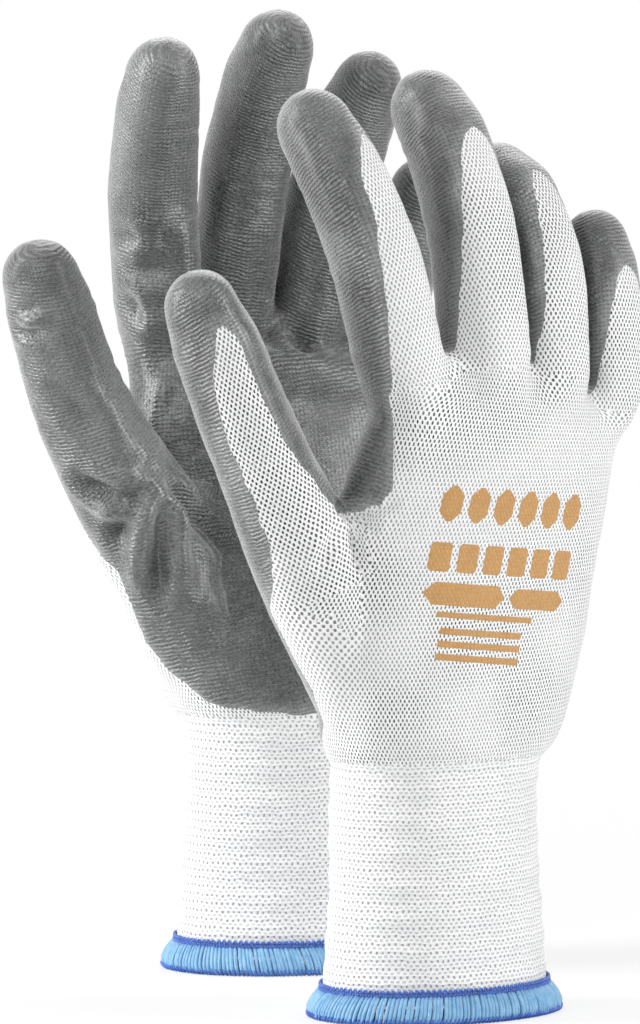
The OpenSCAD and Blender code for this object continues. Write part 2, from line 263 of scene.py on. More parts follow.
# all the limbs in one watertight bag, then the foot cut open
def fuseSkin(digits):
    whole = bmesh.new()
    parts = [buildPalm()] + [buildDigit(name, d) for name, d in digits.items()]
    for middle, halves in skin["webs"]:
        web = bmesh.new()
        bmesh.ops.create_uvsphere(web, u_segments=24, v_segments=16, radius=1)
        bmesh.ops.scale(web, vec=halves, verts=web.verts)
        bmesh.ops.translate(web, vec=middle, verts=web.verts)
        parts.append(web)
    for part in parts:
        mesh = bpy.data.meshes.new("part")
        part.to_mesh(mesh)
        part.free()
        whole.from_mesh(mesh)
        bpy.data.meshes.remove(mesh)
    thing = meshObject("skinDraft", whole)
    remesh = thing.modifiers.new("fuse", "REMESH")
    remesh.mode = "VOXEL"
    remesh.voxel_size = skin["voxel"]
    remesh.adaptivity = 0
    bpy.context.view_layer.update()
    fused = bpy.data.meshes.new_from_object(thing.evaluated_get(bpy.context.evaluated_depsgraph_get()))
    bm = bmesh.new()
    bm.from_mesh(fused)
    bpy.data.objects.remove(thing)
    bpy.data.meshes.remove(fused)
    for step in range(skin["smoothing"] + skin["webSmoothing"]):
        chosen = bm.verts if step < skin["smoothing"] else [v
            for v in bm.verts if webLow(v.co) < v.co.z < webHigh(v.co)]
        bmesh.ops.smooth_vert(bm, verts=chosen, factor=0.5, use_axis_x=True, use_axis_y=True, use_axis_z=True)
    points = np.array([v.co for v in bm.verts])
    best, nearest = np.full(len(points), 9.0), np.full(len(points), -1)
    for index, (name, digit) in enumerate(digits.items()):
        rows = np.array([(*digit.sample(at)[0], sum(digit.sample(at)[2:]) / 2) for at in np.linspace(0.6,
                4, 60)])
        centre = spreadPoints(rows[:, :3], digit, skin["apart"][name])
        for start in range(0, len(points), 20000):
            chunk = slice(start, start + 20000)
            gap = (np.sqrt(((points[chunk][:, None, :] - centre[None]) ** 2).sum(2)) / rows[None, :,
                    3]).min(1)
            closer = gap < best[chunk]
            best[chunk] = np.where(closer, gap, best[chunk])
            nearest[chunk] = np.where(closer, index, nearest[chunk])
    for index, (name, digit) in enumerate(digits.items()):
        mine = nearest == index
        points[mine] = spreadPoints(points[mine], digit, -skin["apart"][name])
    for v, p in zip(bm.verts, points):
        v.co = p
    bmesh.ops.smooth_vert(bm, verts=bm.verts, factor=0.5, use_axis_x=True, use_axis_y=True, use_axis_z=True)
    bmesh.ops.bisect_plane(bm, geom=bm.verts[:] + bm.edges[:] + bm.faces[:], plane_co=(0, 0, skin["hemTop"]),
                           plane_no=(0, 0, 1), clear_inner=True)
    bmesh.ops.recalc_face_normals(bm, faces=bm.faces)
    bm.normal_update()
    bm.verts.ensure_lookup_table()
    return bm


# each point's place on the hand: which digit it is on, how far up and how far round
def surfaceMap(points, digits):
    place = {}
    for name, digit in digits.items():
        rows = []
        for at in np.linspace(0, 4.0, 81):
            middle, angle, width, depth = digit.sample(at)
            rows.append((*middle, *digit.along(angle), *digit.palmward(angle), (width + depth) / 2))
        rows = np.array(rows)
        steps = np.linalg.norm(np.diff(rows[:, :3], axis=0), axis=1)
        run = np.concatenate(([0], np.cumsum(steps)))
        run -= run[20]
        nearest = np.empty(len(points), int)
        for start in range(0, len(points), 20000):
            chunk = points[start:start + 20000]
            gaps = ((chunk[:, None, :] - rows[None, :, :3]) ** 2).sum(2)
            nearest[start:start + 20000] = gaps.argmin(1)
        near = rows[nearest]
        away = points - near[:, :3]
        up = (away * near[:, 3:6]).sum(1)
        height = run[nearest] + up
        palmwards = (away * near[:, 6:9]).sum(1)
        sideways = away @ np.array(digit.across)
        flat = np.hypot(palmwards, sideways)
        # angle from the middle of the back, towards the thumb side
        place[name] = {"height": height, "angle": np.degrees(np.arctan2(-sideways, -palmwards)),
                       "reach": flat / near[:, 9],
                       "level": (points - np.array(digit.stations[1]))
                       @ np.array(digit.along(digit.mitres[1])),
                       "level2": (points - np.array(digit.stations[2]))
                       @ np.array(digit.along(digit.mitres[2]))}
    owner = np.full(len(points), -1)
    best = np.full(len(points), 1.75)
    for index, name in enumerate(digitNames):
        spot = place[name]
        fits = (spot["height"] > (-7 if name == "thumb" else -3)) & (spot["reach"] < best)
        owner[fits] = index
        best[fits] = spot["reach"][fits]
    rows = hand["palmSections"]
    heights = [r[0] for r in rows]
    z = points[:, 2] + np.interp(points[:, 2], heights, [r[5] for r in rows]) * points[:, 0]
    width, depth, acrossMiddle, deepMiddle = (np.interp(z, heights, [r[i] for r in rows]) for i in (1, 2,
            3, 4))
    x = (points[:, 0] - acrossMiddle) / width
    y = (points[:, 1] - deepMiddle) / depth
    power = 1 / hand["squareness"]
    turn = np.degrees(np.arctan2(np.sign(y) * abs(y) ** power, np.sign(x) * abs(x) ** power)) % 360
    return place, owner, {"height": z, "turn": turn, "squat": depth / width}, best


# share of the way round an oval, against the turn, for several squatnesses
squats = np.array((0.3, 0.42, 0.54, 0.74))
turnSteps = np.radians(np.arange(0, 361, 1.0))
roundShares = []
for squat in squats:
    px = np.sign(np.cos(turnSteps)) * abs(np.cos(turnSteps)) ** hand["squareness"]
    py = squat * np.sign(np.sin(turnSteps)) * abs(np.sin(turnSteps)) ** hand["squareness"]
    run = np.concatenate(([0], np.cumsum(np.hypot(np.diff(px), np.diff(py)))))
    roundShares.append(run / run[-1])
roundShares = np.array(roundShares)


def shareRound(turn, squat):
    columns = np.array([np.interp(turn, np.arange(0, 361, 1.0), row) for row in roundShares])
    at = np.clip(np.interp(squat, squats, np.arange(len(squats))), 0, len(squats) - 1.001)
    low = at.astype(int)
    f = at - low
    index = np.arange(len(turn))
    return columns[low, index] * (1 - f) + columns[low + 1, index] * f


# where the dip ends, as the edge of the bare strip on the back of each digit:
# height above the web, edge on the thumb side, edge on the little-finger side, in degrees from the middle
# of the back
coat = {
    "thickness": 0.34,
    "edge": 0.07,
    "bareStrips": {
        "thumb": ((-30, 80, -200), (-22, 74, -170), (-9, 62, -130), (0, 42, -108), (6, 30, -84), (14, 24,
                -62), (33, 24, -44),
                  (44, 27, -37), (55, 19, -36), (62, 5, -38), (66.5, -8, -34), (69, -16, -26)),
        "index": ((-8, 64, -84), (0, 54, -74), (12, 44, -66), (37, 25, -56), (50, 13, -52), (57, -3, -48),
                  (61, -28, -36)),
        "middle": ((-4, 96, -84), (0, 86, -76), (8, 78, -70), (24, 60, -62), (41, 46, -54), (51, 31, -44),
                   (56.5, 14, -26), (59, -4, -8)),
        "ring": ((-4, 80, -82), (0, 58, -74), (11, 42, -66), (23, 37, -60), (36, 28, -52), (45, 17, -40),
                 (50, 2, -12)),
        "little": ((-4, 74, -84), (0, 56, -76), (5, 51, -70), (23, 28, -55), (30, 15, -38), (33.5, -2, -10)),
    },
    # height on the hand and the turn at which the dip ends on its thumb side
    "thumbEdge": ((66, 60), (68.6, 100), (72, 150), (79, 166), (88, 174), (96, 167), (107, 163), (120, 170),
                  (128, 178), (131, 196), (140, 208), (158, 197), (166, 190)),
    "littleEdge": ((66, 40), (70, 8), (80, -6), (120, -10), (150, -12), (166, -14)),
    "foot": 69.0,
}


def coatField(points, place, owner, palm, seed):
    # above 0 on the dip, in millimetres from its edge
    z, turn = palm["height"], palm["turn"]
    thumbEdge = np.interp(z, *zip(*coat["thumbEdge"]))
    littleEdge = np.interp(z, *zip(*coat["littleEdge"]))
    signed = np.where(turn > 270, turn - 360, turn)
    field = np.minimum((thumbEdge - signed) * 0.56, (signed - littleEdge) * 0.56)
    field = np.minimum(field, z - coat["foot"])
    for index, name in enumerate(digitNames):
        mine = owner == index
        spot = place[name]
        rows = coat["bareStrips"][name]
        height, angle = spot["height"][mine], spot["angle"][mine]
        if name == "thumb":
            # the dip lies from the thumb-side edge, round the palm side, to the other edge
            angle = np.where(angle > 175, angle - 360, angle)
        sideA = np.interp(height, [r[0] for r in rows], [r[1] for r in rows])
        sideB = np.interp(height, [r[0] for r in rows], [r[2] for r in rows])
        scale = 0.19
        bare = np.minimum((sideA - angle) * scale, (angle - sideB) * scale)
        bare = np.minimum(bare, rows[-1][0] - height)
        field[mine] = -bare
    # the edge climbs from loop to loop
    for i in range(len(points)):
        if abs(field[i]) < 4:
            p = Vector(points[i])
            field[i] += 0.8 * noise.noise(p * 0.16 + Vector((seed, 0,
                    0))) + 0.22 * noise.noise(p * 0.9 + Vector((0, seed, 0)))
    return field


# folds and puckers: two ends, half width and depth (below 0 stands out)
folds = {
    "right": [
        ((-46, -13, 137), (-38, -20, 133), 1.5, 1.1), ((-48, -16, 131), (-52, -15, 123), 1.7, 0.8),
        ((-40, -15, 132), (-40, -16, 121), 1.6, 0.7), ((-43, -14, 134), (-34, -24, 138), 1.3, 0.7),
        ((-40, 0, 132), (-28, 10, 116), 2.6, 1.3), ((-44, 4, 124), (-30, 12, 102), 2.8, 1.1),
        ((-14, -16, 172), (-11, -14, 164), 2.2, 0.8), ((8, -17, 168), (10, -15, 160), 2.2, 0.8),
        ((-30, 12, 92), (-14, 14, 98), 3.4, 0.6),
    ],
    "left": [
        ((-42, -15, 195), (-33, -7, 194), 2.6, 1.1), ((-40, -13, 186), (-33, -9, 187), 3.6, 1.7),
        ((-40, -17, 176), (-33, -10, 178), 3.0, 1.2), ((-39, -14, 181), (-37, -11, 171), 2.0, -0.8),
        ((-82, 5, 176), (-79, 10, 177), 1.4, -1.2), ((-83, 2, 173), (-78, 9, 172), 1.6, 0.8),
        ((-65, 4, 133), (-51, 11, 128), 2.4, 2.0), ((-62, 7, 126), (-52, 11, 124), 2.6, -1.0),
        ((-49, 11, 134), (-56, 6, 118), 2.4, 1.6), ((-48, 11, 132), (-51, 6, 104), 2.6, -1.2),
        ((-46, 11, 131), (-45, 10, 100), 2.4, 1.4), ((-44, 10, 133), (-38, 12, 102), 2.4, -0.9),
        ((-46, 9, 135), (-24, 8, 112), 2.6, 1.6), ((-40, 6, 137), (-20, 4, 128), 2.6, 1.1),
        ((-40, 1, 90), (-14, 13, 91), 4.0, 0.8), ((-72, 8, 156), (-63, 10, 146), 3.0, 0.8),
        ((-14, -17, 170), (-10, -14, 161), 2.4, 1.0), ((9, -17, 168), (11, -14, 158), 2.4, 1.0),
        ((-36, -4, 146), (-30, -6, 158), 2.4, 0.9),
    ],
}
fabric = {
    "foldDepth": 2.0,
    "swell": 0.6,           # slow unevenness, millimetres
    "ripple": 0.16,         # quick unevenness
    "knuckle": 0.5,         # shallow bends across the digits
}


def wrinkle(bm, side, digits, seed):
    points = np.array([v.co for v in bm.verts])
    normals = np.array([v.normal for v in bm.verts])
    push = np.zeros(len(points))
    place, owner, palm, _ = surfaceMap(points, digits)
    for i, p in enumerate(points):
        q = Vector(p)
        push[i] = (fabric["swell"] * noise.noise(q * 0.045 + Vector((seed, 0, 0)))
                   + fabric["ripple"] * noise.noise(q * 0.19 + Vector((0, seed, 0))))
    calm = np.clip((points[:, 2] - 12) / 20, 0, 1)
    push *= calm
    # rings of gathered elastic
    cuffShare = np.clip((70 - points[:, 2]) / 8, 0, 1) * np.clip((points[:, 2] - 8) / 6, 0, 1)
    push += cuffShare * 0.22 * np.sin(points[:, 2] * 2 * math.pi / 8.6
                                      + 0.5 * np.sin(np.radians(palm["turn"]) * 2))
    for first, last, width, depth in folds[side]:
        depth *= fabric["foldDepth"]
        a, b = np.array(first, float), np.array(last, float)
        span = b - a
        share = np.clip(((points - a) @ span) / (span @ span), 0, 1)
        gap = np.linalg.norm(points - (a + share[:, None] * span), axis=1)
        fade = np.sin(np.pi * np.clip(share * 0.86 + 0.07, 0, 1)) ** 0.7
        push -= depth * fade * np.exp(-(gap / width) ** 2)
        push += 0.45 * depth * fade * np.exp(-((gap - 2.1 * width) / (0.9 * width)) ** 2)
    # shallow folds across the palm side of each digit at its joints
    for index, name in enumerate(digitNames):
        spot, digit = place[name], digits[name]
        mine = owner == index
        front = np.clip(np.cos(np.radians(spot["angle"] - 180)), 0, 1) ** 1.5
        for k, extra in ((2, 0), (2, 5.5), (3, 0), (3, 4.5)):
            at = sum(digit.stretches[1:k]) + extra - 2
            push -= mine * front * fabric["knuckle"] * np.exp(-((spot["height"] - at
                    + 1.2 * np.sin(np.radians(spot["angle"]) * 3 + seed)) / 1.7) ** 2)
    for v, p, n, amount in zip(bm.verts, points, normals, push):
        v.co = Vector(p + n * amount)
    bm.normal_update()


# draws the nearest corners onto the dip's edge, so that it runs smoothly, and halves the faces that it
# crosses
def snapEdge(bm, field):
    targets = {}
    for edge in bm.edges:
        a, b = edge.verts
        fa, fb = field[a.index], field[b.index]
        if fa * fb < 0:
            spot = a.co.lerp(b.co, fa / (fa - fb))
            near = a if abs(fa) <= abs(fb) else b
            targets.setdefault(near, []).append(spot)
    for v, spots in targets.items():
        v.co = sum(spots, Vector()) / len(spots)
        field[v.index] = 0.0
    pairs = []
    for face in bm.faces:
        if len(face.verts) == 4:
            f = [field[v.index] for v in face.verts]
            for i in (0, 1):
                if f[i] == 0 and f[i + 2] == 0 and f[i + 1] * f[(i + 3) % 4] < 0:
                    pairs.append((face.verts[i], face.verts[i + 2]))
    for pair in pairs:
        bmesh.ops.connect_vert_pair(bm, verts=pair)
    bm.faces.index_update()
    bm.faces.ensure_lookup_table()
    bm.normal_update()


def toPlace(side):
    glove = gloves[side]
    mirror = Matrix.Diagonal((1, -1 if glove["mirrored"] else 1, 1, 1))
    turned = Matrix.Rotation(math.radians(glove["turn"]), 4, "Z")
    moved = Matrix.Translation((*glove["place"], 0))
    return Matrix.Scale(millimetre, 4) @ moved @ turned @ mirror


# one piece cut out of the skin, with the whole skin's own shading at its edges
def cutPiece(name, keep, lift, data, side):
    bm = bmesh.new()
    lookup = {}
    uv = bm.loops.layers.uv.new("loops")
    edgeLayer = bm.verts.layers.float.new("fromEdge")
    normals = []
    for face in keep:
        corners = []
        for v in face.verts:
            if v.index not in lookup:
                new = bm.verts.new(v.co + v.normal * (lift[v.index] if lift is not None else 0))
                new[edgeLayer] = data["fromEdge"][v.index]
                lookup[v.index] = new
                normals.append(v.normal.copy())
            corners.append(lookup[v.index])
        made = bm.faces.new(corners)
        made.smooth = True
        for loop, pair in zip(made.loops, data["uv"][face.index]):
            loop[uv].uv = pair
    place = toPlace(side)
    bmesh.ops.transform(bm, matrix=place, verts=bm.verts)
    mirrored = gloves[side]["mirrored"]
    if mirrored:
        bmesh.ops.reverse_faces(bm, faces=bm.faces)
    thing = meshObject(name, bm)
    rotation = place.to_3x3().normalized()
    turnedNormals = [(rotation @ n).normalized() for n in normals]
    thing.data.normals_split_custom_set_from_vertices([tuple(n) for n in turnedNormals])
    return thing


def flatArea(pairs):
    turned = pairs[1:] + pairs[:1]
    return abs(sum(a[0] * b[1] - b[0] * a[1] for a, b in zip(pairs, turned))) / 2


def uvTable(bm, place, owner, palm, best):
    # loops across and rows up, in millimetres of knit
    palmShare = shareRound(palm["turn"], palm["squat"])
    palmAcross = palmShare * 202.4
    table = []
    for face in bm.faces:
        votes = [owner[v.index] if best[v.index] < 1.35 else -1 for v in face.verts]
        mine = max(set(votes), key=votes.count)
        if mine < 0 and face.normal.z > 0.55 and 90 < face.verts[0].co.z < 150:
            # the crotch of the thumb faces up
            pairs = [(v.co.y, v.co.z - v.co.x) for v in face.verts]
            span = 1e6
        elif mine < 0:
            pairs = [(palmAcross[v.index], palm["height"][v.index]) for v in face.verts]
            span = 202.4
        else:
            spot = place[digitNames[mine]]
            pairs = [(spot["angle"][v.index] / 360 * 69.0, spot["height"][v.index]
                      + 160 + 0.3 * mine) for v in face.verts]
            span = 69.0
        low = min(p[0] for p in pairs)
        pairs = [(p[0] - span if p[0] - low > span / 2 else p[0], p[1]) for p in pairs]
        if flatArea(pairs) < 0.5 * face.calc_area():
            # the wrapped map is stretched on webs, so they take a flat one
            axis = max(range(3), key=lambda i: abs(face.normal[i]))
            first, second = ((1, 2), (0, 2), (0, 1))[axis]
            pairs = [(v.co[first], v.co[second]) for v in face.verts]
        table.append([(p[0] / 100, p[1] / 100) for p in pairs])
    return table


# where each piece of a digit starts and the span at its joint begins and ends, in millimetres past its joint
bends = {
    "webMargin": 1.4,       # how far above the highest web a digit's piece starts
    "footEarly": 0.6,
    "footLength": 13.0,
    "footClear": 8.5,       # the foot's span ends this far before the middle joint
    "tipLow": -6.5,
    "tipHigh": 7.5,
}


def makeGlove(side, materials):
    glove = gloves[side]
    digits = {name: Digit(shape) for name, shape in digitShapes[side].items()}
    bm = fuseSkin(digits)
    wrinkle(bm, side, digits, glove["seed"])
    bm.verts.index_update()
    bm.faces.index_update()
    bm.faces.ensure_lookup_table()
    points = np.array([v.co for v in bm.verts])
    place, owner, palm, best = surfaceMap(points, digits)
    field = coatField(points, place, owner, palm, glove["seed"])
    snapEdge(bm, field)
    data = {"fromEdge": field, "uv": uvTable(bm, place, owner, palm, best)}
    say("%s skin: %d faces" % (side, len(bm.faces)))
    # digit faces start above the highest web that touches another digit or the hand
    faceOwner = []
    for face in bm.faces:
        votes = [owner[v.index] for v in face.verts]
        faceOwner.append(max(set(votes), key=votes.count))
    starts = {}
    for index, name in enumerate(digitNames):
        level = place[name]["level"]
        top = -9.0
        for edge in bm.edges:
            pair = {faceOwner[f.index] for f in edge.link_faces}
            if index in pair and len(pair) > 1:
                top = max(top, max(level[v.index] for v in edge.verts))
        starts[name] = top + bends["webMargin"]
    say("%s digits start at %s" % (side, {k: round(float(v), 1) for k, v in starts.items()}))
    groups = {("palm", "knit"): [], ("palm", "coating"): []}
    for face in bm.faces:
        mine = faceOwner[face.index]
        part = "palm"
        heights = [v.co.z for v in face.verts]
        if mine >= 0:
            name = digitNames[mine]
            spot = place[name]
            if min(spot["level"][v.index] for v in face.verts) > starts[name]:
                second = min(spot["level2"][v.index] for v in face.verts)
                part = name + ("_tip" if second > bends["tipLow"] else "_base")
        if part == "palm" and sum(heights) / len(heights) < 68.6:
            part = "cuff"
        groups.setdefault((part, "knit"), []).append(face)
        if sum(field[v.index] for v in face.verts) > 0:
            groups.setdefault((part, "coating"), []).append(face)
    lift = coat["edge"] + (coat["thickness"] - coat["edge"]) * np.clip(field / 2.2, 0, 1)
    for (part, layer), faces in groups.items():
        if not faces or (part == "cuff" and layer == "coating"):
            continue
        name = "%s_%s_%s_surface" % (side, part, layer)
        thing = cutPiece(name, faces, lift if layer == "coating" else None, data, side)
        thing.data.materials.append(materials["coating" if layer == "coating" else "cuffKnit"
                                              if part == "cuff" else "handKnit"])
        if part in ("palm", "cuff"):
            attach(thing, side + "_hand")
            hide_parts("%s_%s_%s" % (side, part, layer))
            continue
        digitName, stretch = part.split("_")
        digit = digits[digitName]
        if stretch == "base":
            # the span at the foot ends before the next piece of the digit starts
            run = (Vector(digit.stations[2]) - Vector(digit.stations[1])).length
            station, k, low = digit.stations[1], 1, starts[digitName] - bends["footEarly"]
            high = min(starts[digitName] + bends["footLength"], run - bends["footClear"])
            pair = (side + "_hand", side + "_" + digitName + "_base")
        else:
            station, k, low, high = digit.stations[2], 2, bends["tipLow"], bends["tipHigh"]
            pair = (side + "_" + digitName + "_base", side + "_" + digitName + "_tip")
        direction = digit.along(digit.mitres[k])
        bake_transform(thing)
        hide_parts("%s_%s_%s" % (side, part, layer))
    say("%s glove cut into %d pieces" % (side, len(groups)))
    return bm, digits, data


# the hem: light blue thread wrapped over the cuff's foot, a chain above it and knots below
hem = {
    "pitch": 1.02,
    "thread": 0.56,
    "profile": ((-0.7, 6.4), (0.2, 7.35), (1.3, 6.2), (2.5, 4.6), (3.25, 2.9), (3.3, 1.3), (2.4, 0.58),
                (0.9, 0.58), (-0.4, 1.6), (-0.9, 4.2)),
    "slant": 1.3,
    "chainPitch": 1.5,
    "chainThread": 0.3,
    "halfWidth": 32.9,
    "halfDepth": 24.4,
}


def ovalPlaces(halfWidth, halfDepth, pitch):
    turns = np.linspace(0, 2 * math.pi, 2001)
    x, y = halfWidth * np.cos(turns), halfDepth * np.sin(turns)
    run = np.concatenate(([0], np.cumsum(np.hypot(np.diff(x), np.diff(y)))))
    count = int(round(run[-1] / pitch))
    return np.interp(np.arange(count) / count * run[-1], run, turns)


def tubeAlong(bm, path, radius, points=6):
    made = []
    frameSide = None
    for i, spot in enumerate(path):
        before, after = path[max(i - 1, 0)], path[min(i + 1, len(path) - 1)]
        forward = (after - before).normalized()
        if frameSide is None:
            frameSide = forward.orthogonal().normalized()
        frameSide = (frameSide - forward * frameSide.dot(forward)).normalized()
        front = forward.cross(frameSide)
        made.append(addRing(bm, spot, frameSide, front, radius, radius, points, 1.0))
    stackRings(bm, made)


def scatterAround(name, pattern, spots, side, material):
    bm = bmesh.new()
    for place in spots:
        bm.from_mesh(pattern)
        fresh = bm.verts[-len(pattern.vertices):]
        bmesh.ops.transform(bm, matrix=place, verts=fresh)
        bm.verts.ensure_lookup_table()
    for face in bm.faces:
        face.smooth = True
    bmesh.ops.transform(bm, matrix=toPlace(side), verts=bm.verts)
    bmesh.ops.recalc_face_normals(bm, faces=bm.faces)
    thing = meshObject(name, bm)
    thing.data.materials.append(material)
    return thing


def patternMesh(paths, radius, points):
    bm = bmesh.new()
    for path in paths:
        tubeAlong(bm, [Vector(p) for p in path], radius, points)
    mesh = bpy.data.meshes.new("pattern")
    bm.to_mesh(mesh)
    bm.free()
    return mesh


# a frame on the foot oval: X along the edge, Y outwards, Z up
def edgeFrame(turn, lift=0.0):
    middle = Vector((hem["halfWidth"] * math.cos(turn), hem["halfDepth"] * math.sin(turn), lift))
    out = Vector((math.cos(turn) / hem["halfWidth"], math.sin(turn) / hem["halfDepth"], 0)).normalized()
    along = Vector((0, 0, 1)).cross(out)
    frameMatrix = Matrix((along, out, Vector((0, 0, 1)))).transposed().to_4x4()
    frameMatrix.translation = middle
    return frameMatrix


def makeHem(side, materials):
    random = np.random.default_rng(int(gloves[side]["seed"]))
    path = [(hem["slant"] * (1 - i / 4) if i < 6 else -0.5 * hem["slant"], out, z) for i, (out,
            z) in enumerate(hem["profile"])]
    strand = patternMesh([path], hem["thread"], 6)
    spots = []
    for turn in ovalPlaces(hem["halfWidth"], hem["halfDepth"], hem["pitch"]):
        wobble = Matrix.Translation((random.normal(0, 0.08), random.normal(0, 0.05), 0))
        stretch = Matrix.Diagonal((random.uniform(0.92, 1.12), random.uniform(0.97, 1.04),
                                   random.uniform(0.985, 1.015), 1))
        spots.append(edgeFrame(turn + random.normal(0, 0.002)) @ wobble @ stretch)
    wrap = scatterAround(side + "_hem_wrapping", strand, spots, side, materials["hemThread"])
    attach(wrap, side + "_hand")
    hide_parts(side + "_hem_looper_thread")
    # the chain: pairs of short slanted legs that meet in points
    legs = [((-0.62, 0.42, 0.75), (-0.3, 0.62, 0.3), (0.05, 0.5, -0.15)), ((0.7, 0.42, 0.75), (0.4, 0.62,
            0.3), (0.05, 0.5, -0.15)),
            ((-0.62, 0.3, 1.75), (-0.3, 0.5, 1.3), (0.05, 0.4, 0.95)), ((0.7, 0.3, 1.75), (0.4, 0.5, 1.3),
                    (0.05, 0.4, 0.95))]
    chain = patternMesh(legs, hem["chainThread"], 5)
    spots = [edgeFrame(turn, 7.35) @ Matrix.Translation((random.normal(0, 0.05), 0, random.normal(0, 0.05)))
             for turn in ovalPlaces(hem["halfWidth"], hem["halfDepth"], hem["chainPitch"])]
    needle = scatterAround(side + "_hem_chain", chain, spots, side, materials["stitchThread"])
    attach(needle, side + "_hand")
    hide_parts(side + "_hem_needle_thread")
    knot = patternMesh([((-0.35, 3.25, 0.42), (0.0, 3.72, 0.85), (0.35, 3.8, 1.35), (0.6, 3.6, 1.8))], 0.3, 5)
    spots = [edgeFrame(turn) @ Matrix.Translation((random.normal(0, 0.06), 0, random.normal(0, 0.04)))
             for turn in ovalPlaces(hem["halfWidth"] + 3.3, hem["halfDepth"] + 3.3, 1.16)]
    knots = scatterAround(side + "_hem_knots", knot, spots, side, materials["stitchThread"])
    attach(knots, side + "_hand")
    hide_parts(side + "_hem_edge_thread")


# elastic yarns laid into the cuff, seen through it from inside
def makeElastic(side, materials):
    bm = bmesh.new()
    for height in np.arange(10.5, 67, 4.3):
        _, width, depth, acrossMiddle, deepMiddle, _ = palmSection(height)
        ring = []
        for step in range(73):
            turn = 2 * math.pi * step / 72
            ring.append(Vector(((width - 1.3) * math.cos(turn) + acrossMiddle,
                                (depth - 1.3) * math.sin(turn) + deepMiddle,
                                height + 0.25 * math.sin(turn * 6))))
        tubeAlong(bm, ring, 0.32, 5)
    for face in bm.faces:
        face.smooth = True
    bmesh.ops.recalc_face_normals(bm, faces=bm.faces)
    bmesh.ops.transform(bm, matrix=toPlace(side), verts=bm.verts)
    if gloves[side]["mirrored"]:
        bmesh.ops.reverse_faces(bm, faces=bm.faces)
    thing = meshObject(side + "_cuff_elastic_yarn", bm)
    thing.data.materials.append(materials["elastic"])
    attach(thing, side + "_hand")
    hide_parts(side + "_cuff_elastic")


# generic marks on the back of the hand, plain shapes only: left, bottom, width, height and pointed ends,
# in millimetres
marks = {
    "corner": (-23.5, 133.5),
    "tilt": 7.0,
    "lift": 0.06,
    "bars": [(i * 8.3, 0, 6.2, 9.4, 2.4) for i in range(6)] + [(i * 8.3, -13.2, 6.2, 7.6,
            0.7) for i in range(6)]
            + [(0, -22.0, 26, 6.0, 3.0), (27.4, -21.6, 20.3, 5.2, 2.6),
               (5, -25.2, 32, 1.5, 0.2), (7, -29.6, 27, 1.7, 0.3), (7, -33.0, 27, 1.7, 0.3), (7, -36.4, 27,
                       1.7, 0.3)],
    "rows": (-38.0, 12.0),
}


def makePrint(side, bm, data, materials):
    tilt = math.radians(marks["tilt"])
    right = Vector((math.cos(tilt), 0, -math.sin(tilt)))
    up = Vector((math.sin(tilt), 0, math.cos(tilt)))
    corner = Vector((marks["corner"][0], 0, marks["corner"][1]))
    whole = bmesh.new()
    uv = whole.loops.layers.uv.new("loops")
    lookup = {}
    for face in bm.faces:
        middle = face.calc_center_median()
        local = middle - corner
        if (face.normal.y < -0.25 and middle.y < -8 and -2 < local.dot(right) < 50
                and marks["rows"][0] - 1 < local.dot(up) < marks["rows"][1] + 1):
            corners = []
            for v in face.verts:
                if v.index not in lookup:
                    lookup[v.index] = whole.verts.new(v.co + v.normal * marks["lift"])
                corners.append(lookup[v.index])
            made = whole.faces.new(corners)
            made.smooth = True
            for loop, pair in zip(made.loops, data["uv"][face.index]):
                loop[uv].uv = pair
    result = bmesh.new()
    for left, bottom, width, height, cut in marks["bars"]:
        piece = whole.copy()
        low = corner + right * left + up * bottom
        high = low + right * width + up * height
        sides = [(low, -right), (high, right), (low, -up), (high, up)]
        for along in (-1, 1):
            for rise in (-1, 1):
                outward = (right * along + up * rise).normalized()
                spot = low + right * (width if along > 0 else 0) + up * (height if rise > 0 else 0)
                sides.append((spot - outward * cut * 0.7071, outward))
        for point, outward in sides:
            bmesh.ops.bisect_plane(piece, geom=piece.verts[:] + piece.edges[:] + piece.faces[:],
                                   plane_co=point,
                                   plane_no=outward, clear_outer=True)
        mesh = bpy.data.meshes.new("bar")
        piece.to_mesh(mesh)
        piece.free()
        result.from_mesh(mesh)
        bpy.data.meshes.remove(mesh)
    whole.free()
    bmesh.ops.transform(result, matrix=toPlace(side), verts=result.verts)
    if gloves[side]["mirrored"]:
        bmesh.ops.reverse_faces(result, faces=result.faces)
    thing = meshObject(side + "_back_marks", result)
    thing.data.materials.append(materials["ink"])
    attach(thing, side + "_hand")
    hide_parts(side + "_back_print")


# materials
def newMaterial(name):
    material = bpy.data.materials.new(name)
    material.use_nodes = True
    tree = material.node_tree
    shader = tree.nodes["Principled BSDF"]
    return material, tree, shader


def mathNode(tree, operation, first, second=None, third=None, clamp=False):
    node = tree.nodes.new("ShaderNodeMath")
    node.operation = operation
    node.use_clamp = clamp
    for slot, value in zip(node.inputs, (first, second, third)):
        if value is None:
            continue
        if isinstance(value, (int, float)):
            slot.default_value = value
        else:
            tree.links.new(value, slot)
    return node.outputs[0]


def mixColours(tree, share, first, second):
    node = tree.nodes.new("ShaderNodeMix")
    node.data_type = "RGBA"
    for slot, value in ((node.inputs[0], share), (node.inputs[6], first), (node.inputs[7], second)):
        if isinstance(value, (int, float)):
            slot.default_value = value
        elif isinstance(value, tuple):
            slot.default_value = (*value, 1) if len(value) == 3 else value
        else:
            tree.links.new(value, slot)
    return node.outputs[2]


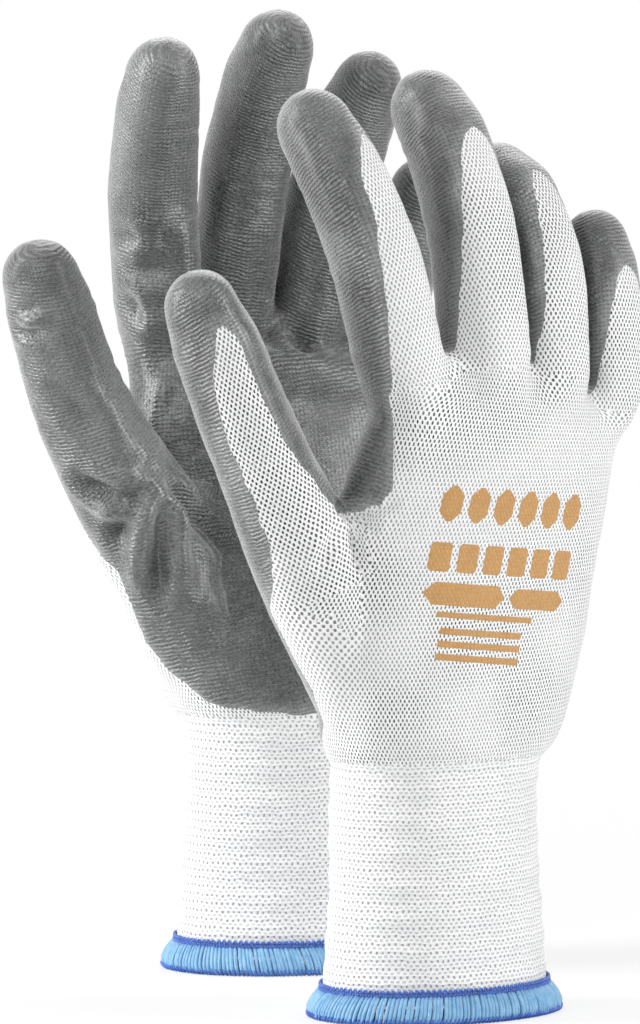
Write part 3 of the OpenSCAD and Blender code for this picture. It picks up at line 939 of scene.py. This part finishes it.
def rangeNode(tree, value, low, high, toLow=0.0, toHigh=1.0, smooth=True):
    node = tree.nodes.new("ShaderNodeMapRange")
    node.interpolation_type = "SMOOTHSTEP" if smooth else "LINEAR"
    tree.links.new(value, node.inputs["Value"])
    for name, number in (("From Min", low), ("From Max", high), ("To Min", toLow), ("To Max", toHigh)):
        node.inputs[name].default_value = number
    return node.outputs["Result"]


def noiseNode(tree, vector, scale, detail=2.0, roughness=0.5):
    node = tree.nodes.new("ShaderNodeTexNoise")
    node.inputs["Scale"].default_value = scale
    node.inputs["Detail"].default_value = detail
    node.inputs["Roughness"].default_value = roughness
    tree.links.new(vector, node.inputs["Vector"])
    return node.outputs["Fac"]


def bumpNode(tree, height, distance, strength, below=None):
    node = tree.nodes.new("ShaderNodeBump")
    node.inputs["Distance"].default_value = distance
    node.inputs["Strength"].default_value = strength
    tree.links.new(height, node.inputs["Height"])
    if below is not None:
        tree.links.new(below, node.inputs["Normal"])
    return node.outputs["Normal"]


# loops and rows of the knit, counted along the piece's own map
def knitCounts(tree, loopPitch, rowPitch):
    uvNode = tree.nodes.new("ShaderNodeUVMap")
    uvNode.uv_map = "loops"
    objectNode = tree.nodes.new("ShaderNodeTexCoord")
    split = tree.nodes.new("ShaderNodeSeparateXYZ")
    tree.links.new(uvNode.outputs[0], split.inputs[0])
    wander = noiseNode(tree, objectNode.outputs["Object"], 260.0, 1.0)
    wander2 = noiseNode(tree, objectNode.outputs["Object"], 340.0, 1.0)
    loops = mathNode(tree, "MULTIPLY", split.outputs[0], 100.0 / loopPitch)
    rows = mathNode(tree, "MULTIPLY", split.outputs[1], 100.0 / rowPitch)
    loops = mathNode(tree, "MULTIPLY_ADD", wander, 0.7, loops)
    rows = mathNode(tree, "MULTIPLY_ADD", wander2, 0.5, rows)
    return loops, rows, objectNode.outputs["Object"]


# small gaps between the loops, staggered from row to row: 1 in a gap
def knitGaps(tree, loops, rows, low, high):
    c = mathNode(tree, "COSINE", mathNode(tree, "MULTIPLY", loops, math.pi))
    r = mathNode(tree, "COSINE", mathNode(tree, "MULTIPLY", rows, math.pi))
    both = mathNode(tree, "MULTIPLY", c, r)
    return rangeNode(tree, both, low, high)


def knitMaterial(name, colours, settings):
    material, tree, shader = newMaterial(name)
    loops, rows, place = knitCounts(tree, settings["loopPitch"], settings["rowPitch"])
    gaps = knitGaps(tree, loops, rows, settings["gapFrom"], settings["gapTo"])
    # the two legs of each loop lean together, so the yarn shows as small Vs
    lean = mathNode(tree, "ABSOLUTE", mathNode(tree, "SINE", mathNode(tree, "MULTIPLY", loops, math.pi / 2)))
    leg = mathNode(tree, "SINE", mathNode(tree, "MULTIPLY_ADD", lean, 2.6, mathNode(tree, "MULTIPLY", rows,
            2 * math.pi)))
    soil = noiseNode(tree, place, 60.0, 3.0)
    uneven = noiseNode(tree, place, 1400.0, 2.0)
    stretch = rangeNode(tree, noiseNode(tree, place, 26.0, 1.0), 0.38, 0.62, 0.62, 1.0)
    # painted shade: the gaps between the loops are coloured near-black for the shade inside the glove seen
    # through them, more strongly in some patches
    gapShadeShare = mathNode(tree, "MULTIPLY", mathNode(tree, "MULTIPLY", gaps, stretch), rangeNode(tree,
            uneven, 0.35, 0.65, 0.75, 1.0))
    base = mixColours(tree, rangeNode(tree, soil, 0.3, 0.75), colours["light"], colours["shade"])
    colour = mixColours(tree, gapShadeShare, base, colours["gap"])
    tree.links.new(colour, shader.inputs["Base Color"])
    height = mathNode(tree, "MULTIPLY_ADD", leg, 0.18, mathNode(tree, "MULTIPLY", gaps, -1.0))
    fuzz = noiseNode(tree, place, 5200.0, 2.0)
    normal = bumpNode(tree, height, settings["depth"], 0.9)
    normal = bumpNode(tree, fuzz, 0.00012, 0.35, normal)
    tree.links.new(normal, shader.inputs["Normal"])
    shader.inputs["Roughness"].default_value = 0.86
    shader.inputs["Specular IOR Level"].default_value = 0.25
    shader.inputs["Sheen Weight"].default_value = 0.25
    shader.inputs["Sheen Roughness"].default_value = 0.5
    return material


def cuffMaterial():
    material, tree, shader = newMaterial("cuff rib knit")
    loops, rows, place = knitCounts(tree, 1.85, 2.15)
    # each pair of rows: round holes, then wider dashes just below
    across = mathNode(tree, "COSINE", mathNode(tree, "MULTIPLY", loops, 2 * math.pi))
    upper = mathNode(tree, "COSINE", mathNode(tree, "MULTIPLY", rows, 2 * math.pi))
    lower = mathNode(tree, "COSINE", mathNode(tree, "MULTIPLY_ADD", rows, 2 * math.pi, 2.9))
    acrossHalf = mathNode(tree, "COSINE", mathNode(tree, "MULTIPLY_ADD", loops, 2 * math.pi, math.pi))
    holes = mathNode(tree, "MULTIPLY", rangeNode(tree, across, 0.1, 0.95), rangeNode(tree, upper, 0.35, 0.95))
    dashes = mathNode(tree, "MULTIPLY", rangeNode(tree, acrossHalf, -0.5, 0.4), rangeNode(tree, lower,
            0.55, 0.95))
    dark = mathNode(tree, "MAXIMUM", holes, mathNode(tree, "MULTIPLY", dashes, 0.6))
    soil = noiseNode(tree, place, 70.0, 3.0)
    base = mixColours(tree, rangeNode(tree, soil, 0.3, 0.75), (0.93, 0.93, 0.93), (0.86, 0.865, 0.87))
    # painted shade: the holes and dashes are coloured dark grey for the shade inside them
    colour = mixColours(tree, mathNode(tree, "MULTIPLY", dark, 0.85), base, (0.36, 0.36, 0.37))
    tree.links.new(colour, shader.inputs["Base Color"])
    roundRow = mathNode(tree, "COSINE", mathNode(tree, "MULTIPLY_ADD", rows, 2 * math.pi, 4.4))
    height = mathNode(tree, "MULTIPLY_ADD", roundRow, 0.35, mathNode(tree, "MULTIPLY", dark, -1.0))
    fuzz = noiseNode(tree, place, 5200.0, 2.0)
    normal = bumpNode(tree, height, 0.0005, 0.9)
    normal = bumpNode(tree, fuzz, 0.00012, 0.35, normal)
    tree.links.new(normal, shader.inputs["Normal"])
    shader.inputs["Roughness"].default_value = 0.88
    shader.inputs["Specular IOR Level"].default_value = 0.25
    shader.inputs["Sheen Weight"].default_value = 0.25
    return material


def coatingMaterial():
    material, tree, shader = newMaterial("grey dipped coating")
    loops, rows, place = knitCounts(tree, 1.2, 1.05)
    edge = tree.nodes.new("ShaderNodeAttribute")
    edge.attribute_name = "fromEdge"
    fromEdge = edge.outputs["Fac"]
    # rows of the knit under the dip show as wavy ridges
    waves = mathNode(tree, "MULTIPLY_ADD", noiseNode(tree, place, 210.0, 2.0), 1.5, mathNode(tree,
            "MULTIPLY_ADD", loops, 0.16, rows))
    ridge = mathNode(tree, "SINE", mathNode(tree, "MULTIPLY", waves, 2 * math.pi))
    dash = mathNode(tree, "MULTIPLY_ADD", mathNode(tree, "COSINE", mathNode(tree, "MULTIPLY", loops,
            2 * math.pi)), 0.3, 0.7)
    ridge = mathNode(tree, "MULTIPLY", ridge, dash)
    gaps = knitGaps(tree, loops, rows, 0.5, 0.95)
    cloud = noiseNode(tree, place, 32.0, 4.0, 0.6)
    grain = noiseNode(tree, place, 900.0, 3.0)
    base = mixColours(tree, rangeNode(tree, cloud, 0.36, 0.64), (0.125, 0.131, 0.127), (0.045, 0.049, 0.047))
    base = mixColours(tree, rangeNode(tree, grain, 0.4, 0.75, 0.0, 0.3), base, (0.32, 0.33, 0.32))
    thin = rangeNode(tree, mathNode(tree, "MULTIPLY_ADD", cloud, 3.0, fromEdge), 1.2, 6.5, 0.6, 0.0)
    base = mixColours(tree, thin, base, (0.36, 0.37, 0.365))
    # painted highlight: the film is coloured pale where it is seen edge-on, standing in for the bright rims
    # from the side lights
    paintedRimHighlight = tree.nodes.new("ShaderNodeLayerWeight")
    paintedRimHighlight.inputs["Blend"].default_value = 0.4
    base = mixColours(tree, rangeNode(tree, paintedRimHighlight.outputs["Facing"], 0.3, 0.92, 0.0, 0.85), base, (0.40,
            0.41, 0.405))
    # painted shade: the grooves between the ridges are coloured near-black
    base = mixColours(tree, rangeNode(tree, ridge, 0.0, -1.0, 0.0, 0.6), base, (0.035, 0.038, 0.036))
    tree.links.new(base, shader.inputs["Base Color"])
    # some patches of the film are drawn tight over the yarn, and others bridge it
    tight = rangeNode(tree, noiseNode(tree, place, 38.0, 2.0), 0.42, 0.6, 0.35, 1.5)
    height = mathNode(tree, "MULTIPLY_ADD", mathNode(tree, "MULTIPLY", ridge, tight), 0.7, mathNode(tree,
            "MULTIPLY", gaps, -0.5))
    normal = bumpNode(tree, height, 0.0005, 0.9)
    normal = bumpNode(tree, grain, 0.00022, 0.35, normal)
    tree.links.new(normal, shader.inputs["Normal"])
    tree.links.new(rangeNode(tree, grain, 0.3, 0.7, 0.26, 0.42), shader.inputs["Roughness"])
    shader.inputs["Specular IOR Level"].default_value = 0.85
    shader.inputs["Coat Weight"].default_value = 0.25
    shader.inputs["Coat Roughness"].default_value = 0.22
    shader.inputs["Sheen Weight"].default_value = 0.35
    shader.inputs["Sheen Roughness"].default_value = 0.4
    return material


def threadMaterial(name, light, dark, roughness):
    material, tree, shader = newMaterial(name)
    place = tree.nodes.new("ShaderNodeTexCoord").outputs["Object"]
    cloud = noiseNode(tree, place, 500.0, 3.0)
    strands = noiseNode(tree, place, 3800.0, 2.0)
    colour = mixColours(tree, rangeNode(tree, cloud, 0.3, 0.7), light, dark)
    tree.links.new(colour, shader.inputs["Base Color"])
    normal = bumpNode(tree, strands, 0.0002, 0.5)
    tree.links.new(normal, shader.inputs["Normal"])
    shader.inputs["Roughness"].default_value = roughness
    shader.inputs["Specular IOR Level"].default_value = 0.5
    shader.inputs["Sheen Weight"].default_value = 0.3
    return material


def inkMaterial():
    material, tree, shader = newMaterial("ochre ink on knit")
    loops, rows, place = knitCounts(tree, 0.6, 1.05)
    gaps = knitGaps(tree, loops, rows, 0.4, 0.95)
    worn = noiseNode(tree, place, 900.0, 3.0)
    base = mixColours(tree, rangeNode(tree, worn, 0.35, 0.7), (0.56, 0.30, 0.09), (0.50, 0.25, 0.07))
    colour = mixColours(tree, mathNode(tree, "MULTIPLY", gaps, 0.9), base, (0.5, 0.42, 0.34))
    tree.links.new(colour, shader.inputs["Base Color"])
    normal = bumpNode(tree, mathNode(tree, "MULTIPLY", gaps, -1.0), 0.00035, 0.8)
    tree.links.new(normal, shader.inputs["Normal"])
    shader.inputs["Roughness"].default_value = 0.6
    return material


materials = {
    # the white knit's near-black gap colour is painted shade in the holes
    "handKnit": knitMaterial("white seamless knit",
                             {"light": (0.97, 0.97, 0.97), "shade": (0.92, 0.925, 0.93), "gap": (0.012,
                                     0.012, 0.013)},
                             {"loopPitch": 0.6, "rowPitch": 1.05, "gapFrom": 0.14, "gapTo": 0.5,
                              "depth": 0.0005}),
    "cuffKnit": cuffMaterial(),
    "coating": coatingMaterial(),
    "hemThread": threadMaterial("light blue hem thread", (0.24, 0.47, 0.70), (0.15, 0.37, 0.62), 0.42),
    "stitchThread": threadMaterial("blue stitch thread", (0.03, 0.14, 0.58), (0.02, 0.10, 0.45), 0.45),
    "elastic": threadMaterial("covered elastic", (0.80, 0.80, 0.77), (0.70, 0.70, 0.68), 0.6),
    "ink": inkMaterial(),
}
say("materials")

for side in gloves:
    skinMesh, digits, data = makeGlove(side, materials)
    makePrint(side, skinMesh, data, materials)
    skinMesh.free()
    makeHem(side, materials)
    makeElastic(side, materials)
    say(side + " glove done")


# floor, light and camera
studio = {"floorSize": 30.0, "whiteFrom": 0.15, "whiteTo": 0.6, "whiteNear": 0.72}


def makeFloor():
    bm = bmesh.new()
    bmesh.ops.create_grid(bm, x_segments=2, y_segments=2, size=studio["floorSize"])
    floor = meshObject("floor", bm)
    material, tree, shader = newMaterial("pale floor")
    shader.inputs["Base Color"].default_value = (0.9, 0.9, 0.9, 1)
    shader.inputs["Roughness"].default_value = 0.9
    shader.inputs["Specular IOR Level"].default_value = 0.1
    place = tree.nodes.new("ShaderNodeTexCoord").outputs["Object"]
    length = tree.nodes.new("ShaderNodeVectorMath")
    length.operation = "LENGTH"
    tree.links.new(place, length.inputs[0])
    far = rangeNode(tree, length.outputs["Value"], studio["whiteFrom"], studio["whiteTo"],
                    studio["whiteNear"], 1.0)
    path = tree.nodes.new("ShaderNodeLightPath")
    share = mathNode(tree, "MULTIPLY", far, path.outputs["Is Camera Ray"])
    white = tree.nodes.new("ShaderNodeEmission")
    mix = tree.nodes.new("ShaderNodeMixShader")
    tree.links.new(share, mix.inputs[0])
    tree.links.new(shader.outputs[0], mix.inputs[1])
    tree.links.new(white.outputs[0], mix.inputs[2])
    tree.links.new(mix.outputs[0], tree.nodes["Material Output"].inputs["Surface"])
    floor.data.materials.append(material)


def makeWorld():
    world = bpy.data.worlds.new("studio")
    bpy.context.scene.world = world
    world.use_nodes = True
    tree = world.node_tree
    background = tree.nodes["Background"]
    background.inputs["Color"].default_value = (1, 1, 1, 1)
    background.inputs["Strength"].default_value = 0.3
    seen = tree.nodes.new("ShaderNodeBackground")
    seen.inputs["Strength"].default_value = 1.0
    seen.inputs["Color"].default_value = (1, 1, 1, 1)
    path = tree.nodes.new("ShaderNodeLightPath")
    mix = tree.nodes.new("ShaderNodeMixShader")
    direct = mathNode(tree, "MAXIMUM", path.outputs["Is Camera Ray"], path.outputs["Is Glossy Ray"])
    direct = mathNode(tree, "MAXIMUM", direct, path.outputs["Is Transmission Ray"])
    tree.links.new(direct, mix.inputs[0])
    tree.links.new(background.outputs[0], mix.inputs[1])
    tree.links.new(seen.outputs[0], mix.inputs[2])
    tree.links.new(mix.outputs[0], tree.nodes["World Output"].inputs["Surface"])


def addLamp(name, place, target, size, power):
    lamp = bpy.data.lights.new(name, "AREA")
    lamp.shape = "RECTANGLE"
    lamp.size, lamp.size_y = size
    lamp.energy = power
    thing = bpy.data.objects.new(name, lamp)
    bpy.context.scene.collection.objects.link(thing)
    thing.location = place
    thing.rotation_euler = (Vector(target) - Vector(place)).to_track_quat("-Z", "Y").to_euler()
    return thing


def makeCamera():
    camera = bpy.data.cameras.new("camera")
    camera.sensor_width = 36
    distance, frameHeight = 7.0, 0.2695
    camera.lens = 18 / (frameHeight / 2 / distance)
    camera.clip_end = 40
    thing = bpy.data.objects.new("camera", camera)
    bpy.context.scene.collection.objects.link(thing)
    target = Vector((-0.0004, -0.0012, 0.1269))
    elevation = math.radians(6)
    thing.location = target + distance * Vector((0, -math.cos(elevation), math.sin(elevation)))
    thing.rotation_euler = (target - thing.location).to_track_quat("-Z", "Y").to_euler()
    bpy.context.scene.camera = thing


makeFloor()
makeWorld()
addLamp("left strip", (-1.15, -0.15, 0.55), (0, 0, 0.12), (0.4, 1.3), 19)
addLamp("right strip", (1.15, -0.3, 0.5), (0, 0, 0.12), (0.4, 1.3), 11)
addLamp("front above", (-0.35, -1.2, 1.15), (0, 0, 0.12), (0.9, 0.7), 7)
addLamp("back", (0.2, 1.3, 1.1), (0, 0, 0.12), (1.2, 0.8), 7)
makeCamera()
bpy.context.scene.view_settings.view_transform = "Standard"

bpy.context.view_layer.update()
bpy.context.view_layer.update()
say("scene ready")
